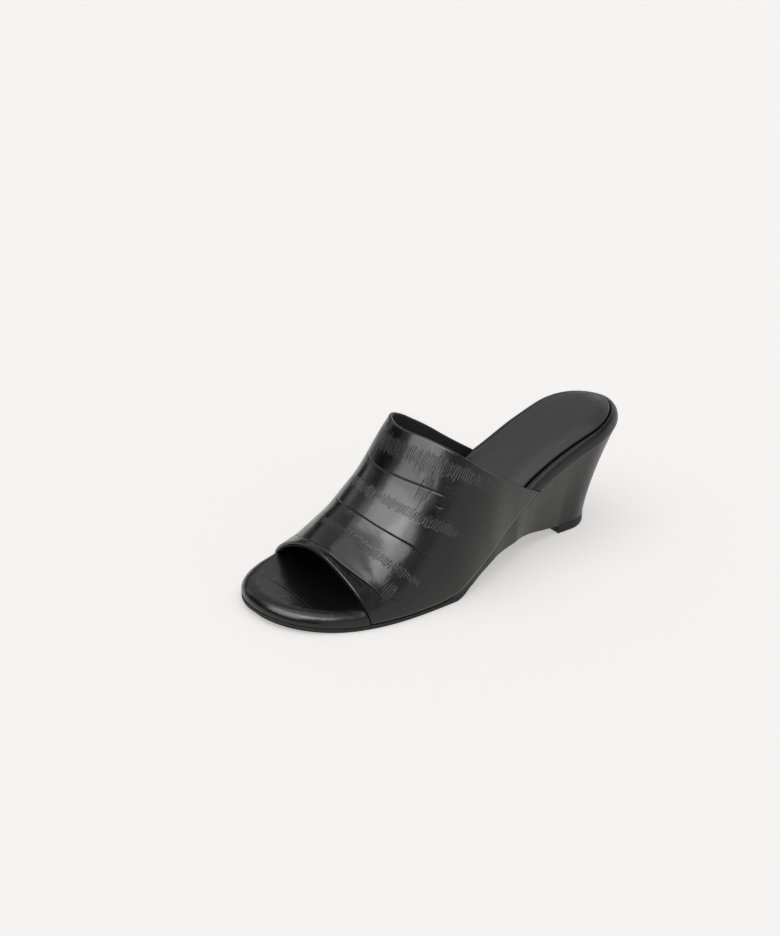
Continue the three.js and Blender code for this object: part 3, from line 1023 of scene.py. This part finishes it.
def satinLeather():
    look = {"Roughness": 0.36, "IOR": 1.43, "Coat Weight": 0.06, "Coat Roughness": 0.2}
    material, tree, shader = newMaterial("wedgeLeather", (0.007, 0.007, 0.0078), look)
    place = objectPlace(tree)
    waves = noise(tree, place, 60, 2, 0.5)
    streaks = noise(tree, scaledBy(tree, place, 120, 120, 30), 1.0, 3, 0.6)
    grain = cells(tree, place, 1500)
    height = layered(tree, (waves, 0.12), (streaks, 0.03), (grain, 0.014))
    tree.links.new(ranged(tree, streaks, 0.3, 0.7, 0.32, 0.42), shader.inputs["Roughness"])
    raised(tree, shader, height, coated=True)
    return material


def soleSheet(name, colour):
    material, tree, shader = newMaterial(name, colour, {"Roughness": 0.7, "IOR": 1.45})
    place = objectPlace(tree)
    speckle = noise(tree, place, 900, 3, 0.6)
    height = layered(tree, (speckle, 0.05), (noise(tree, place, 150, 2), 0.06))
    tree.links.new(ranged(tree, speckle, 0.3, 0.7, 0.6, 0.8), shader.inputs["Roughness"])
    raised(tree, shader, height)
    return material


def makeWedge():
    inset = wedge["inset"]
    gap = shoe["gap"]
    step = outsoleBack - 0.1  # its floor steps up here, over the outsole's back edge
    top = planLoop(
        inset,
        wedgeFront,
        lambda along: max(0, halfOuter(along) - inset),
        lambda along: max(0, halfInner(along) - inset),
        wedge["facets"],
        (outsoleBack - 0.12, outsoleBack - 0.08),
    )

    def low(x, along):  # the matching point of the lower outline
        back = topPiece["back"] - inset
        moved = along + back * clamp(1 - (along - inset) / wedge["heelReach"]) ** 2
        share = clamp((moved - topPiece["front"]) / wedgeSpan)
        spread = clamp(share * wedge["waistReach"]) ** wedge["waistPower"]
        half = topPieceHalfAt(moved) + (abs(x) - topPiece["half"]) * spread
        return (half if x > 0 else -half if x < 0 else 0), moved

    def floorOf(along):
        over = gap if along < topPiece["front"] else 0
        if along > step:
            over = shoe["soleThickness"] + gap
        return underside(along) + over

    bottom = [low(x, along) for x, along in top]
    rings = []
    for share in closingShares(4)[::-1]:
        ring = towardsMiddle(bottom, share)
        rings.append([toFrame(x, along, floorOf(along)) for x, along in ring])
    for k in range(wedge["flareSteps"] + 1):
        v = k / wedge["flareSteps"]
        flare = v ** wedge["flarePower"]
        ring = []
        for (x, along), (lowX, lowAlong) in zip(top, bottom):
            lowZ = floorOf(lowAlong)
            z = mix(lowZ, max(lowZ, featherLine(along) - wedge["gap"]), v)
            ring.append(toFrame(mix(lowX, x, flare), mix(lowAlong, along, flare), z))
        rings.append(ring)
    for share in closingShares(4):
        ring = []
        for x, along in towardsMiddle(top, share):
            height = max(floorOf(along), featherLine(along) - wedge["gap"])
            ring.append(toFrame(x, along, height))
        rings.append(ring)
    return finished(drawnOut(rings), "wedgeBlock", "wedge", satinLeather(), sharpAngle=45)


def makeOutsole():
    end = shoe["length"] - outsole["inset"]
    ahead = wedgeFront + shoe["gap"]
    thickness = shoe["soleThickness"]
    chamfer = outsole["chamfer"]
    edge = outsole["topEdge"]

    def insetAt(along):  # flush with the wedge where it begins
        share = smooth((along - outsoleBack) / (ahead - outsoleBack))
        return mix(wedge["inset"], outsole["inset"], share)

    def outer(along):
        return max(0, halfOuter(along) - insetAt(along))

    def inner(along):
        return max(0, halfInner(along) - insetAt(along))

    def topOf(along):  # in front of the wedge it fills up to the board
        room = featherLine(along) - shoe["gap"] - underside(along)
        return thickness if along < ahead else max(thickness, room)

    levels = [
        (chamfer, lambda along: 0),
        (chamfer * 0.3, lambda along: chamfer * 0.3),
        (0, lambda along: chamfer),
        (0, lambda along: topOf(along) - edge),
        (edge, topOf),
    ]
    places = (ahead - 0.02, ahead + 0.02)  # close before and behind the step at the wedge's front
    loop = planLoop(outsoleBack, end, outer, inner, outsole["facets"], places)
    rings = closingRings(loop, chamfer, underside, lambda along: 0, closingShares(4)[::-1])
    rings += plateRings(loop, underside, levels)
    rings += closingRings(loop, edge, underside, topOf, closingShares(2))
    surface = soleSheet("outsoleSheet", (0.012,) * 3)
    return finished(drawnOut(rings), "outsoleSheet", "outsole", surface, sharpAngle=40)


def makeTopPiece():
    height = topPiece["height"]
    low = topPiece["lowerEdge"]
    high = topPiece["upperEdge"]
    levels = [
        (low, lambda along: 0),
        (low / 3, lambda along: low / 3),
        (0, lambda along: low),
        (0, lambda along: height - high),
        (high, lambda along: height),
    ]

    def floorHeight(along):
        return 0

    half = topPieceHalfAt
    loop = planLoop(topPiece["back"], topPiece["front"], half, half, topPiece["facets"])
    rings = closingRings(loop, low, floorHeight, floorHeight, closingShares(2)[::-1])
    rings += plateRings(loop, floorHeight, levels)
    rings += closingRings(loop, high, floorHeight, lambda along: height, closingShares(2))
    surface = soleSheet("topPieceRubber", (0.01,) * 3)
    return finished(drawnOut(rings), "topPiece", "top_piece", surface, sharpAngle=40)


# Camera, floor and light

view = {
    "azimuth": 50.1637,
    "elevation": 26.6011,
    "roll": 2.9598,
    "distance": 1315.506,
    "along": 122.955,  # the point it looks at, on the shoe's long axis
    "up": 31.26,
    "right": -22.998,  # how far it stands aside of that line of sight, in its own plane
    "above": 17.82,
    "focalPixels": 2505.793,
    "framePixels": 936,
    "sensor": 36.0,
}


def makeCamera():
    azimuth = radians(view["azimuth"])
    elevation = radians(view["elevation"])
    back = Vector((sin(azimuth) * cos(elevation), -cos(azimuth) * cos(elevation), sin(elevation)))
    right = Vector((cos(azimuth), sin(azimuth), 0))
    above = back.cross(right)
    target = toFrame(0, view["along"], view["up"])
    offset = back * view["distance"] + right * view["right"] + above * view["above"]
    turned = Matrix.Rotation(radians(view["roll"]), 3, back)
    axes = Matrix((turned @ right, turned @ above, back)).transposed()
    data = bpy.data.cameras.new("camera")
    data.sensor_width = view["sensor"]
    data.lens = view["sensor"] * view["focalPixels"] / view["framePixels"]
    data.clip_start = 0.05
    data.clip_end = 50
    camera = bpy.data.objects.new("camera", data)
    camera.matrix_world = Matrix.Translation(target + offset * mm) @ axes.to_4x4()
    bpy.context.scene.collection.objects.link(camera)
    bpy.context.scene.camera = camera


# Direction of each light as azimuth from +X towards +Y, and elevation, and its sizes in metres. The
# boxes and walls of the studio show only in the gloss, and daylight and the world light the floor.
lights = {
    "softBox": {"azimuth": -89, "elevation": 50, "distance": 1.5, "size": (1.34, 1.2), "glow": 4.4},
    "highBox": {"azimuth": -36, "elevation": 62, "distance": 1.5, "size": (0.85, 0.62), "glow": 5.2},
    "ceiling": {"azimuth": -110, "elevation": 76, "distance": 1.7, "size": (1.7, 1.66), "glow": 1.7},
    "outerWall": {"azimuth": 20, "elevation": 15, "distance": 2.0, "size": (4.8, 1.06), "glow": 0.9},
    "upperWall": {"azimuth": 20, "elevation": 40, "distance": 2.0, "size": (4.8, 0.74), "glow": 0.45},
    "rearWall": {"azimuth": 100, "elevation": 20, "distance": 2.0, "size": (2.8, 1.46), "glow": 0.8},
    "innerWall": {"azimuth": 165, "elevation": 36, "distance": 2.0, "size": (3.0, 1.5), "glow": 0.5},
    "sideStrip": {"azimuth": -167, "elevation": 17, "distance": 1.3, "size": (0.2, 0.6), "glow": 0.7},
}
lightsMeet = {"along": 140, "up": 30}  # the point they face, in millimetres
daylight = {"azimuth": -90, "elevation": 86, "angle": 80, "strength": 0.865}
floorLook = {
    "colour": (0.8, 0.793, 0.78),
    "roughness": 0.9,
    "gloss": 0.1,
    "glow": 0.55,
    "size": 40.0,
}
worldLook = {"colour": (1, 0.995, 0.985), "glow": 0.3}


def directionTo(azimuth, elevation):
    turn = radians(azimuth)
    rise = radians(elevation)
    return Vector((cos(turn) * cos(rise), sin(turn) * cos(rise), sin(rise)))


def makeLights():
    middle = toFrame(0, lightsMeet["along"], lightsMeet["up"])
    for name, place in lights.items():
        width, height = place["size"]
        data = bpy.data.lights.new(name, "AREA")
        data.shape = "RECTANGLE"
        data.size = width
        data.size_y = height
        data.energy = place["glow"] * pi * width * height
        light = bpy.data.objects.new(name, data)
        away = directionTo(place["azimuth"], place["elevation"])
        turn = (-away).to_track_quat("-Z", "Y").to_matrix().to_4x4()
        light.matrix_world = Matrix.Translation(middle + away * place["distance"]) @ turn
        light.visible_camera = False
        light.visible_diffuse = False
        bpy.context.scene.collection.objects.link(light)
    data = bpy.data.lights.new("daylight", "SUN")
    data.angle = radians(daylight["angle"])
    data.energy = daylight["strength"]
    sun = bpy.data.objects.new("daylight", data)
    away = directionTo(daylight["azimuth"], daylight["elevation"])
    sun.matrix_world = (-away).to_track_quat("-Z", "Y").to_matrix().to_4x4()
    sun.visible_glossy = False
    bpy.context.scene.collection.objects.link(sun)
    world = bpy.data.worlds.new("studio")
    world.use_nodes = True
    background = world.node_tree.nodes["Background"]
    background.inputs["Color"].default_value = (*worldLook["colour"], 1)
    background.inputs["Strength"].default_value = worldLook["glow"]
    world.cycles_visibility.glossy = False
    bpy.context.scene.world = world
    bpy.context.scene.view_settings.view_transform = "Standard"


def makeFloor():
    bm = bmesh.new()
    bmesh.ops.create_grid(bm, x_segments=4, y_segments=4, size=floorLook["size"] / 2)
    mesh = bpy.data.meshes.new("studioFloor")
    bm.to_mesh(mesh)
    bm.free()
    gloss = {"Roughness": floorLook["roughness"], "Specular IOR Level": floorLook["gloss"]}
    material, tree, shader = newMaterial("studioFloor", floorLook["colour"], gloss)
    shader.inputs["Emission Color"].default_value = (*floorLook["colour"], 1)
    shader.inputs["Emission Strength"].default_value = floorLook["glow"]
    mesh.materials.append(material)
    floor = bpy.data.objects.new("studioFloor", mesh)
    bpy.context.scene.collection.objects.link(floor)


makeCamera()
makeFloor()
makeLights()
print("camera, floor and light done")
makeUpper()
print("upper done")
makeFootbed()
makeSock()
print("footbed and sock done")
makeWedge()
makeOutsole()
makeTopPiece()
print("wedge, outsole and top piece done")
